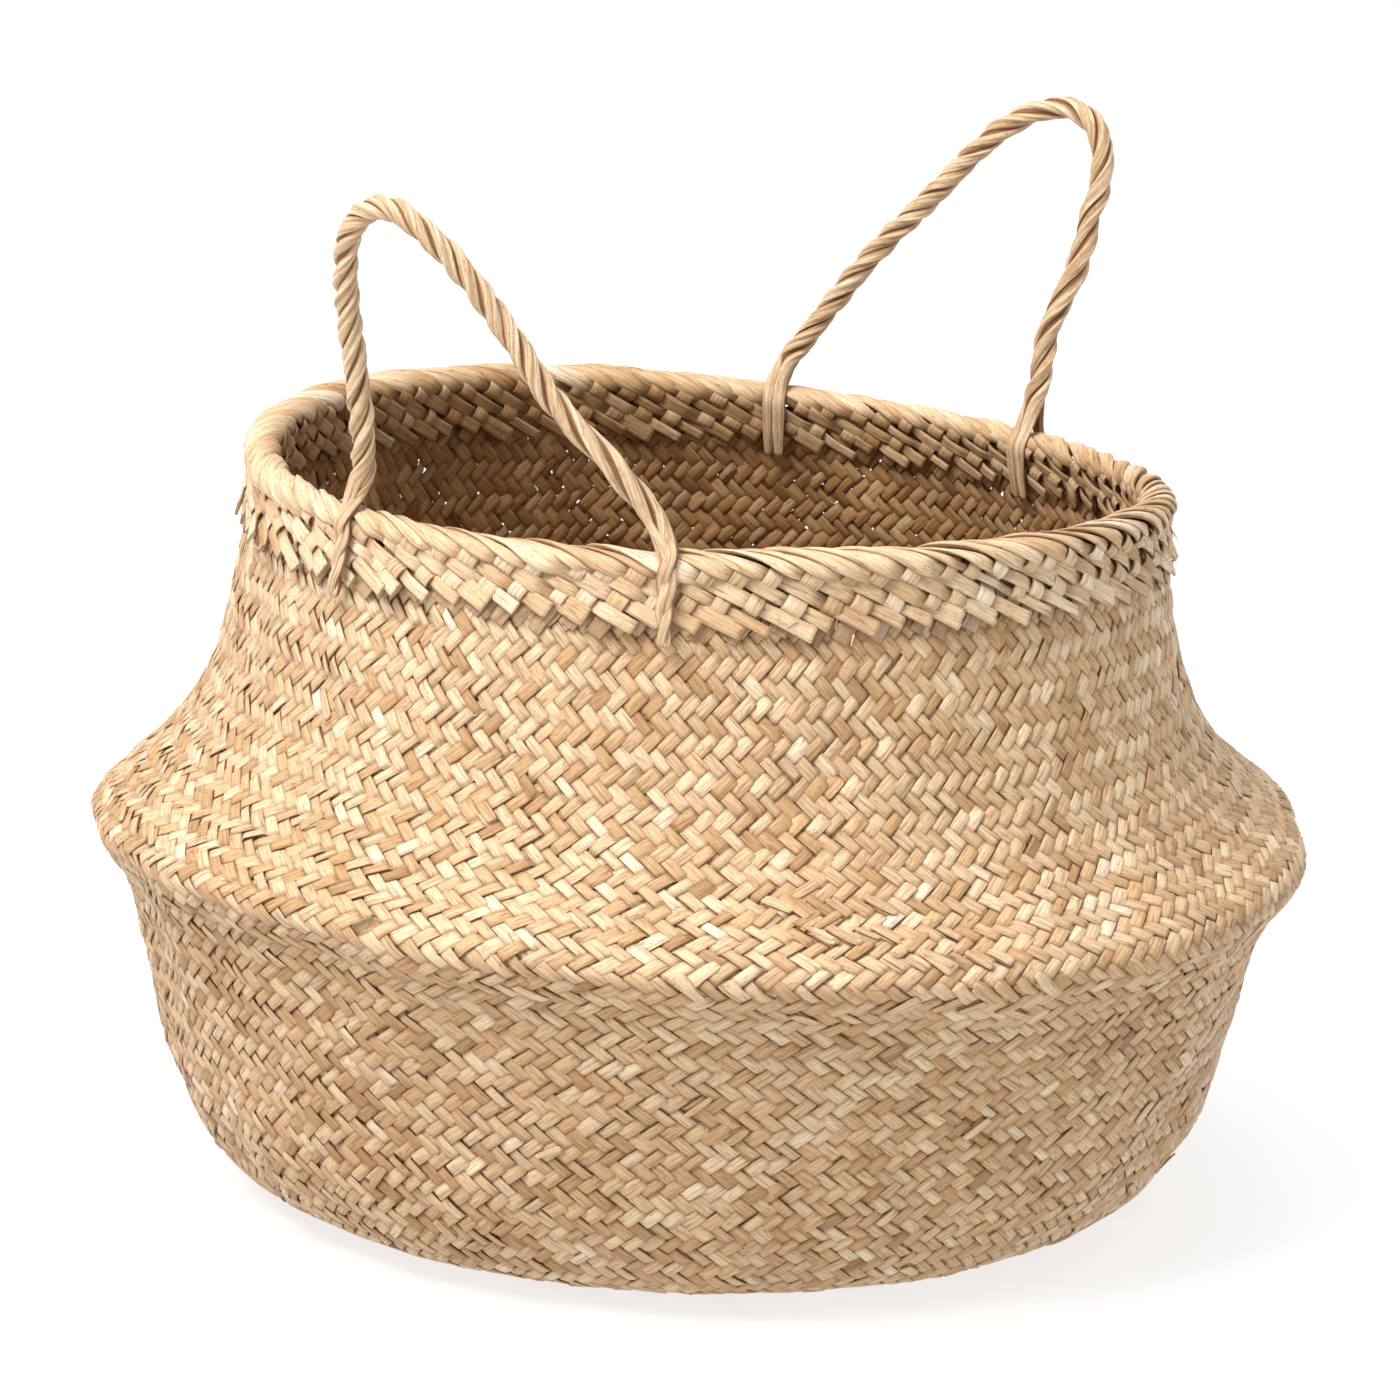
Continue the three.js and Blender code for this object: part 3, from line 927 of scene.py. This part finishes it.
def crossings_piece(section, marks, side, material):
    """The strands that cross under the wraps on one side of the wall, and show between them in two rows."""
    inner_foot, top, outer_foot = marks
    rng = rolls("crossings", int(side > 0))
    face = "outer" if side > 0 else "inner"
    strand = np.arange(WRAPS)[:, None, None]
    count = strand.shape

    def spread(size):
        return rng.normal(0, CROSS_SPREAD[size], count)

    pitch = 2 * math.pi / WRAPS
    first, second = CROSS_ROWS
    turned = wrap_turns(section, top)
    at_first = np.interp(top + side * first, section.along, turned)
    at_second = np.interp(top + side * second, section.along, turned) - side * CROSS_SHIFT * pitch
    rate = (at_second - at_first) / (second - first)
    foot = outer_foot - top if side > 0 else top - inner_foot
    stop = foot + rng.uniform(*CROSS_STOPS, count)
    down = CROSS_START + (stop - CROSS_START) * np.linspace(0, 1, CROSS_STATIONS)[None, :, None]
    slant = math.atan2(1.0, abs(rate) * RIM_RADIUS)

    across, thick = STRAND_SECTION.T
    aside = across * CROSS_WIDTH * np.clip(1 + spread("width"), *CROSS_WIDTHS)
    turn = pitch * (strand + spread("turn")) + at_first + rate * (down - first)
    turn = turn + side * aside * math.sin(slant) / RIM_RADIUS
    along = top + side * (down + aside * math.cos(slant))
    over = near_rows(down, CROSS_REACH * CROSS_OVERREACH)
    lift = CROSS_LIFT * (2 * over - 1) + spread("lift")
    lift = lift + spread("tilt") * 2 * across + thick * CROSS_HALF_THICKNESS
    points = place(*section.at(along, -lift), turn)

    run = down / math.sin(slant)
    grain = grain_of(points, f"{face}_crossings", strand, run, round_strand(aside, thick))
    tone = tone_of("crossings", rng, count)
    # Painted shadow where a crossing strand runs under the wraps and at its edges; painted shade on the inner
    # side.
    painted_shadow = CROSS_UNDER_PAINTED_SHADOW * (1 - np.clip(over * CROSS_OVER_GAIN, 0, 1)) + CROSS_EDGE_PAINTED_SHADOW * (thick == 0)
    painted_warm_shade = 0.0 if side > 0 else CROSS_INSIDE_PAINTED_SHADE
    obj = strip_mesh(f"rim_crossings_{face}", points, grain, tone, painted_shadow, painted_warm_shade, material)
    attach(obj, "neck")
    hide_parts(f"rim_band_{face}")


# ---- Splices and loose fibres ----


def splice_places(crossings, rng):
    """Where the splices' middles are: which strand's float each lies on, and which way it runs."""
    below, above = SCATTER_MARGINS
    scattered = rng.uniform([0, below], [STRANDS, crossings - above], (SCATTERED_SPLICES, 2))
    share = rng.uniform(0, 1, (SEAM_SPLICES, 1))
    seam = np.array(SEAM_START) + (np.array(SEAM_END) - np.array(SEAM_START)) * share
    seam = seam * [STRANDS, crossings] + rng.normal(0, SEAM_SPREAD, (SEAM_SPLICES, 2))
    centre, crossing = np.vstack([scattered, seam]).T
    family = np.where(rng.uniform(0, 1, len(centre)) < 0.5, 1, -1)
    middle = np.where(family > 0, FLOAT_MIDDLE, FLOAT_MIDDLE + FLOAT)
    crossing = np.round((crossing - middle) / (2 * FLOAT)) * 2 * FLOAT + middle
    column = np.round(centre - family * crossing / 2)
    return (value[:, None, None] for value in (column, crossing, family))


def splices_piece(section, material):
    """Short new strands laid over old ones: scattered all round, and close together on one seam."""
    rng = rolls("splices")
    turned = weave_angles(section)
    column, crossing, family = splice_places(turned[-1] * STRANDS / math.pi, rng)
    count = column.shape
    across, thick = STRAND_SECTION.T
    share = np.linspace(-1, 1, SPLICE_STATIONS)[None, :, None]
    run = crossing + share * rng.uniform(*SPLICE_REACHES, count)
    width = rng.uniform(*SPLICE_WIDTHS, count) * (1 - SPLICE_TAPER * np.abs(share) ** 6)
    own = column + across * width + rng.normal(0, SPLICE_SHIFT, count)
    own = own + share * rng.normal(0, SPLICE_SKEW, count)
    other = column + family * run
    low, high = np.where(family > 0, own, other), np.where(family > 0, other, own)
    turn, along = lattice_place(low, high, turned, section)
    dive = SPLICE_DIP * np.abs(share) ** 4 * rng.uniform(*SPLICE_DIVES, count)
    lift = WEAVE_LIFT + 2 * STRAND_HALF_THICKNESS - SPLICE_SINK - dive
    lift = lift + thick * STRAND_HALF_THICKNESS * SPLICE_THINNESS
    lift = lift + rng.normal(0, SPLICE_TILT, count) * 2 * across + unevenness(turn, along)
    points = place(*section.at(along, lift), turn)

    number = np.arange(len(column)).reshape(count)
    grain = grain_of(points, "splices", number, run * STRAND_WIDTH, across * STRAND_WIDTH)
    tone = tone_of("splices", rng, count)
    # Painted shadow on a splice's back and edges, where it lies on the wall.
    painted_shadow = SPLICE_PAINTED_SHADOW * (thick <= 0)
    obj = strip_mesh("plait_splices", points, grain, tone, painted_shadow, 0.0, material)
    blend_wall(obj)


def fibres_piece(material):
    """Thin loose fibres that curl out of the rim, most of them on its right-hand end."""
    rng = rolls("fibres")
    near = rng.normal(FRAYED_TURN, FRAYED_SPREAD, FRAYED_FIBRES)
    turn = np.concatenate([near, rng.uniform(-math.pi, math.pi, LOOSE_FIBRES)])
    total = len(turn)
    height = rng.uniform(WALL_TOP - OUTER_BAND_HEIGHT, RIM_TOP, total)
    on_edge = RIM_RADIUS + EDGE_HALF_WIDTH + EDGE_ROOT
    root = place(np.where(height > WALL_TOP, on_edge, neck_radius(height) + BAND_ROOT), height, turn)
    out = np.stack([np.cos(turn), np.sin(turn), np.zeros(total)], axis=1)
    aside = np.stack([-np.sin(turn), np.cos(turn), np.zeros(total)], axis=1)
    rise = np.array([0, 0, 1.0])
    way = aside * rng.normal(0, 1, (total, 1)) + rise * rng.normal(*FIBRE_RISE, (total, 1))
    way = unit(way + out * FIBRE_LEAN)
    curl = out * rng.uniform(*CURL_OUT, (total, 1)) + rise * rng.normal(*CURL_RISE, (total, 1))
    curl = unit(curl)
    share = np.linspace(0, 1, FIBRE_STATIONS)[None, :, None]
    length = rng.uniform(*FIBRE_LENGTHS, (total, 1, 1))
    centre = root[:, None] + length * (way[:, None] * share + curl[:, None] * FIBRE_CURL * share**2)
    around = 2 * math.pi * np.arange(FIBRE_SIDES) / FIBRE_SIDES
    size = rng.uniform(*FIBRE_SIZES, (total, 1, 1, 1)) * (1 - FIBRE_TAPER * share[..., None])
    flat = size * rng.uniform(*FIBRE_FLATNESS, (total, 1, 1, 1))
    across = unit(np.cross(way, curl))[:, None, None]
    points = centre[:, :, None] + across * np.cos(around)[:, None] * size
    points = points + curl[:, None, None] * np.sin(around)[:, None] * flat

    number = np.arange(total)[:, None, None]
    grain = grain_of(points, "fibres", number, length * share, 0.0)
    tone = tone_of("fibres", rng, number.shape)
    obj = strip_mesh("rim_loose_fibres", points, grain, tone, 0.0, 0.0, material)
    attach(obj, "neck")


# ---- The rope handles ----


def handle_frame(handle):
    """Its feet, the middle between them, and the leaning direction that it stands up in."""
    turns = [handle["middle"] - handle["half_spread"], handle["middle"] + handle["half_spread"]]
    feet = [place(RIM_RADIUS, FOOT_HEIGHT, turn) for turn in turns]
    middle = (feet[0] + feet[1]) / 2
    outwards = unit(np.array([middle[0], middle[1], 0]))
    up = np.array([0, 0, math.cos(handle["lean"])]) + outwards * math.sin(handle["lean"])
    return turns, feet, middle, up


def twisted_plies(handle, axis, along, up, rng):
    """The centre line of each ply between the feet, and its side that faces out of the rope."""
    ahead = unit(np.gradient(axis, axis=0))
    side = [unit(np.cross(ahead[0], up))]
    for tangent in ahead[1:]:
        side.append(unit(side[-1] - tangent * (side[-1] @ tangent)))
    side = np.array(side)
    across = np.cross(ahead, side)
    keep = (along > LOOSE_FOOT) & (along < along[-1] - LOOSE_FOOT)
    pitch = np.interp(along, [0, along[-1]], handle["pitches"])
    turns_so_far = np.cumsum(np.gradient(along) / pitch)
    for (drift, length), phase in zip(TWIST_DRIFTS, (rng.uniform(0, PHASES), 0)):
        turns_so_far += drift * np.sin(along / length + phase)
    plies, outwards = [], []
    for ply in range(PLIES):
        twist = 2 * math.pi * (turns_so_far + ply / PLIES)
        away = side * np.cos(twist)[:, None] + across * np.sin(twist)[:, None]
        plies.append((axis + PLY_CENTRE * away)[keep])
        outwards.append(away[keep])
    return plies, outwards


def tail_points(turn, side, offset):
    """A ply's way from its end on the band, up past the rolled edge."""
    clear = CLEARANCE + TAIL_HALF_THICKNESS
    band = OUTER_BAND_HEIGHT if side > 0 else INNER_BAND_HEIGHT
    base = 0 if side > 0 else -WALL
    foot = WALL_TOP - band - TAIL_DROP
    half_way = WALL_TOP - band / 2
    reach = CLEARANCE + BAND_THICKNESS + clear
    line = [
        (neck_radius(foot) + base + side * reach, foot),
        (neck_radius(half_way) + base + side * (reach + TAIL_BULGE), half_way),
        (neck_radius(WALL_TOP) + base + side * reach, WALL_TOP),
        (RIM_RADIUS + side * (EDGE_HALF_WIDTH + clear), EDGE_HEIGHT),
        (RIM_RADIUS + side * EDGE_HALF_WIDTH * TAIL_TOP_SHARE, RIM_TOP + TAIL_TOP_RISE),
    ]
    spread = offset / RIM_RADIUS
    return np.array([place(radius, height, turn + spread) for radius, height in line])


def wound(line, across, outwards, start):
    """One of two plies that wind round each other along a line, from its last point back to its first."""
    steps = np.linalg.norm(np.diff(line, axis=0), axis=1)
    left = running_total(steps[::-1])[::-1]
    angle = (start + 2 * math.pi * left / PAIR_PITCH)[:, None]
    return line + PAIR_RADIUS * (across * np.cos(angle) + outwards * (1 + np.sin(angle)))


def tail_of(ply, end, plies, outwards, turn, outside_plies):
    """A ply's way down one foot, its outward side there and how flat it lies."""
    radial = np.array([math.cos(turn), math.sin(turn), 0])
    tangent = np.array([-math.sin(turn), math.cos(turn), 0])
    outness = [away[end] @ radial for away in outwards]
    order = [int(i) for i in np.argsort(outness)[::-1]]
    outer, inner = order[:outside_plies], order[outside_plies:]
    side, group = (1, outer) if ply in outer else (-1, inner)
    if len(group) == 1:
        return spline(tail_points(turn, side, 0.0), TAIL_STEPS), side * radial, 1.0
    other = next(i for i in group if i != ply)
    leans_back = (plies[ply][end] - plies[other][end]) @ tangent < 0
    if side < 0:
        spread = -TAIL_SPREAD if leans_back else TAIL_SPREAD
        return spline(tail_points(turn, side, spread), TAIL_STEPS), -radial, 1.0
    line = spline(tail_points(turn, side, 0.0), TAIL_STEPS)
    return wound(line, tangent, radial, math.pi if leans_back else 0.0), radial, PAIR_FLATNESS


def join_tails(plies, outwards, ply, turns, outside_plies):
    """One ply's centre line, its outward side and how flat it is, in 7 columns: tail, twist and tail."""
    left, left_out, left_flat = tail_of(ply, 0, plies, outwards, turns[0], outside_plies)
    right, right_out, right_flat = tail_of(ply, -1, plies, outwards, turns[1], outside_plies)
    right = right[::-1]
    rows = [np.hstack([left, np.tile([*left_out, left_flat], (len(left), 1))])]
    rows.append(np.hstack([plies[ply], outwards[ply], np.zeros((len(plies[ply]), 1))]))
    rows.append(np.hstack([right, np.tile([*right_out, right_flat], (len(right), 1))]))
    whole = np.vstack(rows)
    along = lengths_along(whole[:, :3])
    even = np.linspace(0, along[-1], round(along[-1] / PLY_STEP))
    whole = soften(rows_at(even, along, whole), FOOT_SOFTNESS, PLY_STEP)
    whole[:, 6] = np.clip(whole[:, 6], 0, 1)
    return whole


def ply_surface(whole, rng):
    """The points round one ply, how far along it they are, and how much painted shadow they have."""
    centre, facing, flat = whole[:, :3], whole[:, 3:6], whole[:, 6:]
    tangent = unit(np.gradient(centre, axis=0))
    facing = unit(facing - tangent * np.einsum("ij,ij->i", facing, tangent)[:, None])
    sideways = np.cross(tangent, facing)
    run = lengths_along(centre)[:, None]
    around = 2 * math.pi * np.arange(PLY_SIDES) / PLY_SIDES
    *phases, last_phase = rng.uniform(0, PHASES, len(PLY_FOLDS) + 1)
    folds = 0
    for (depth, lobes, length), phase in zip(PLY_FOLDS, phases):
        folds = folds + depth * np.sin(lobes * around + run / length + phase)
    swell = 0
    for (depth, length), phase in zip(PLY_SWELLS, (last_phase, phases[0])):
        swell = swell + depth * np.sin(run / length + phase)
    size = 1 + folds + swell
    thick = (PLY_RADIUS + (TAIL_HALF_THICKNESS - PLY_RADIUS) * flat) * size
    wide = (PLY_HALF_WIDTH + (TAIL_HALF_WIDTH - PLY_HALF_WIDTH) * flat) * size
    to_end = np.minimum(run, run[-1] - run)
    ends = np.clip(to_end / TAPER + END_SIZE, 0, 1)
    ends = ends * np.sin(math.pi / 2 * np.clip(to_end / END_ROUNDING + END_BLUNTNESS, 0, 1))
    points = centre[:, None] + facing[:, None] * (thick * ends * np.cos(around))[..., None]
    points += sideways[:, None] * (wide * ends * np.sin(around))[..., None]
    # Painted shadow in the ply's folds and in the grooves towards the rope's middle, less where it lies flat.
    groove = np.clip((GROOVE_START - np.cos(around)) / GROOVE_START, 0, 1) * (1 - FLAT_SHARE * flat)
    painted_shadow = np.clip(-folds * FOLD_PAINTED_SHADOW, 0, FOLD_PAINTED_SHADOW_MOST) + GROOVE_PAINTED_SHADOW * groove
    return points, run, painted_shadow


def rope_piece(handle, number, material):
    """Three twisted plies, which part at each foot and lie down either side of the rim."""
    turns, feet, middle, up = handle_frame(handle)
    chord = (feet[1] - feet[0]) / 2
    arch = [middle + chord * across + up * share * handle["height"] for across, share in handle["arch"]]
    axis, along = resample(centripetal(arch, ARCH_STEPS), PLY_STEP)
    rng = rolls("ropes", number)
    plies, outwards = twisted_plies(handle, axis, along, up, rng)
    paths = [join_tails(plies, outwards, ply, turns, handle["outside_plies"]) for ply in range(PLIES)]

    stations = max(len(path) for path in paths)
    shares = np.linspace(0, 1, stations)
    surfaces = [ply_surface(rows_at(shares, np.linspace(0, 1, len(path)), path), rng) for path in paths]
    points, run, painted_shadow = (np.stack(values) for values in zip(*surfaces))
    girth = 2 * math.pi * PLY_RADIUS * np.arange(PLY_SIDES) / PLY_SIDES
    ply = np.arange(PLIES)[:, None, None]
    grain = grain_of(points, handle["name"], ply, run, girth)
    tone = tone_of("ropes", rng, ply.shape)
    name = f"{handle['name']}_twist"
    obj = strip_mesh(name, points, grain, tone, painted_shadow, 0.0, material)
    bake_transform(obj)
    tails = []
    for foot in ("left", "right"):
        tails += [f"{handle['name']}_{foot}_outer_tail", f"{handle['name']}_{foot}_inner_tail"]
    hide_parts(f"{handle['name']}_rope", *tails)


# ---- Materials ----


class Graph:
    """Adds shader nodes to a new material, a line each."""

    def __init__(self, name):
        self.material = bpy.data.materials.new(name)
        self.material.use_nodes = True
        self.tree = self.material.node_tree
        self.shader = next(n for n in self.tree.nodes if n.type == "BSDF_PRINCIPLED")

    def feed(self, socket, value):
        if isinstance(value, bpy.types.NodeSocket):
            self.tree.links.new(value, socket)
        else:
            socket.default_value = value

    def node(self, kind, output, inputs, **settings):
        """The output of a new node with these settings and these inputs, linked or set."""
        node = self.tree.nodes.new(kind)
        for name, value in settings.items():
            setattr(node, name, value)
        for key, value in inputs.items():
            self.feed(node.inputs[key], value)
        return node.outputs[output]

    def attribute(self, name, output="Fac"):
        return self.node("ShaderNodeAttribute", output, {}, attribute_name=name)

    def scaled(self, vector, scale):
        return self.node("ShaderNodeVectorMath", 0, {0: vector, 1: scale}, operation="MULTIPLY")

    def noise(self, vector, detail):
        inputs = {"Vector": vector, "Scale": 1.0, "Detail": detail, "Roughness": NOISE_ROUGHNESS}
        return self.node("ShaderNodeTexNoise", "Fac", inputs)

    def mix(self, share, a, b, blend="MIX"):
        inputs = {"Factor": share, "A": a, "B": b}
        return self.node("ShaderNodeMix", "Result", inputs, data_type="RGBA", blend_type=blend)

    def maths(self, operation, a, b, clamp=False):
        return self.node("ShaderNodeMath", 0, {0: a, 1: b}, operation=operation, use_clamp=clamp)

    def spread(self, value, low, high):
        inputs = {"Value": value, "From Min": NOISE_RANGE[0], "From Max": NOISE_RANGE[1]}
        return self.node("ShaderNodeMapRange", "Result", {**inputs, "To Min": low, "To Max": high})

    def bump(self, height, strength, distance):
        inputs = {"Height": height, "Strength": strength, "Distance": distance}
        return self.node("ShaderNodeBump", "Normal", inputs)

    def ramp(self, value, stops):
        node = self.tree.nodes.new("ShaderNodeValToRGB")
        elements = node.color_ramp.elements
        while len(elements) < len(stops):
            elements.new(1.0)
        for element, (position, colour) in zip(elements, stops):
            element.position = position
            element.color = (*colour, 1)
        self.feed(node.inputs[0], value)
        return node.outputs["Color"]


def seagrass(name):
    """Flattened dried seagrass: long streaks, fine fibres, thin cracks, and a satin gloss, with painted
    shadow in its crevices and painted shade inside the basket and under the fold.
    """
    graph = Graph(name)
    grain = graph.attribute("grain", "Vector")
    noises = []
    for scale, detail in (STREAK_NOISE, FIBRE_NOISE, CRACK_NOISE):
        noises.append(graph.noise(graph.scaled(grain, scale), detail))
    streaks, fibres, splits = noises
    off_split = graph.maths("ABSOLUTE", graph.maths("SUBTRACT", splits, NOISE_MIDDLE), 0.0)
    colour = graph.ramp(graph.attribute("tone"), STRAW_TONES)
    for value, shade in ((streaks, STREAK_SHADE), (fibres, FIBRE_SHADE), (off_split, CRACK_SHADE)):
        colour = graph.mix(1.0, colour, graph.ramp(value, shade), "MULTIPLY")
    # Painted shadow in crevices and under strands, then painted shade inside the basket and under the fold.
    colour_in_painted_shadow = graph.mix(1.0, colour, PAINTED_SHADOW_COLOUR, "MULTIPLY")
    colour = graph.mix(graph.maths("MULTIPLY", graph.attribute("painted_shadow"), PAINTED_SHADOW_STRENGTH, True), colour, colour_in_painted_shadow)
    painted_warm_colour = graph.mix(1.0, colour, PAINTED_WARM_SHADE_COLOUR, "MULTIPLY")
    colour = graph.mix(graph.attribute("painted_warm_shade"), colour, painted_warm_colour)
    graph.feed(graph.shader.inputs["Base Color"], colour)
    graph.feed(graph.shader.inputs["Roughness"], graph.spread(streaks, *ROUGHNESS))
    relief = graph.maths("ADD", streaks, graph.maths("MULTIPLY", fibres, FIBRE_RELIEF))
    graph.feed(graph.shader.inputs["Normal"], graph.bump(relief, BUMP_STRENGTH, BUMP_DISTANCE))
    graph.shader.inputs["Specular IOR Level"].default_value = SPECULAR
    graph.shader.inputs["Sheen Weight"].default_value = SHEEN
    return graph.material


def floor_material():
    graph = Graph("pale_floor")
    graph.shader.inputs["Base Color"].default_value = FLOOR_SHADE
    graph.shader.inputs["Roughness"].default_value = FLOOR_ROUGHNESS
    graph.shader.inputs["Emission Color"].default_value = WHITE
    graph.shader.inputs["Emission Strength"].default_value = FLOOR_GLOW
    return graph.material


# ---- The stage ----


def add_camera():
    data = bpy.data.cameras.new("photo_camera")
    data.lens = LENS
    data.sensor_width = SENSOR
    data.clip_start = NEAREST
    camera = add_object("photo_camera", data)
    back = Vector((0, -math.cos(VIEW_ELEVATION), math.sin(VIEW_ELEVATION)))
    camera.location = (Vector(VIEW_TARGET) + back * VIEW_DISTANCE) * MM
    facing = (-back).to_track_quat("-Z", "Y").to_matrix().to_4x4()
    camera.rotation_euler = (facing @ Matrix.Rotation(VIEW_ROLL, 4, "Z")).to_euler()
    bpy.context.scene.camera = camera


def add_softbox(name, location, power):
    data = bpy.data.lights.new(name, "AREA")
    data.shape = "RECTANGLE"
    data.size = SOFTBOX_SIZE
    data.size_y = SOFTBOX_SIZE
    data.energy = power
    lamp = add_object(name, data)
    lamp.location = location
    lamp.rotation_euler = (Vector(LIT_POINT) - Vector(location)).to_track_quat("-Z", "Y").to_euler()


def add_world():
    world = bpy.data.worlds.new("studio")
    world.use_nodes = True
    background = next(n for n in world.node_tree.nodes if n.type == "BACKGROUND")
    background.inputs["Color"].default_value = WHITE
    background.inputs["Strength"].default_value = WORLD_STRENGTH
    bpy.context.scene.world = world
    bpy.context.scene.view_settings.view_transform = "Standard"


def add_floor():
    mesh = bpy.data.meshes.new("floor")
    corners = [(x * FLOOR_HALF_SIZE, y * FLOOR_HALF_SIZE, 0) for x, y in ((-1, -1), (1, -1), (1, 1), (-1, 1))]
    mesh.from_pydata(corners, [], [(0, 1, 2, 3)])
    mesh.materials.append(floor_material())
    add_object("floor", mesh)


# ---- The whole basket ----

add_camera()
add_world()
add_floor()
for name, location, power in SOFTBOXES:
    add_softbox(name, location, power)

straw = seagrass("plaited_seagrass")
wall = wall_section()
for family in (1, -1):
    for part in range(STRANDS // STRANDS_PER_PIECE):
        plait_piece(wall, family, part, straw)
    base_piece(family, straw)
splices_piece(wall, straw)

rim, rim_marks = rim_section()
for part in range(WRAPS // WRAPS_PER_PIECE):
    wraps_piece(rim, rim_marks, part, straw)
for side in (1, -1):
    crossings_piece(rim, rim_marks, side, straw)
fibres_piece(straw)
for number, handle in enumerate(HANDLES):
    rope_piece(handle, number, straw)
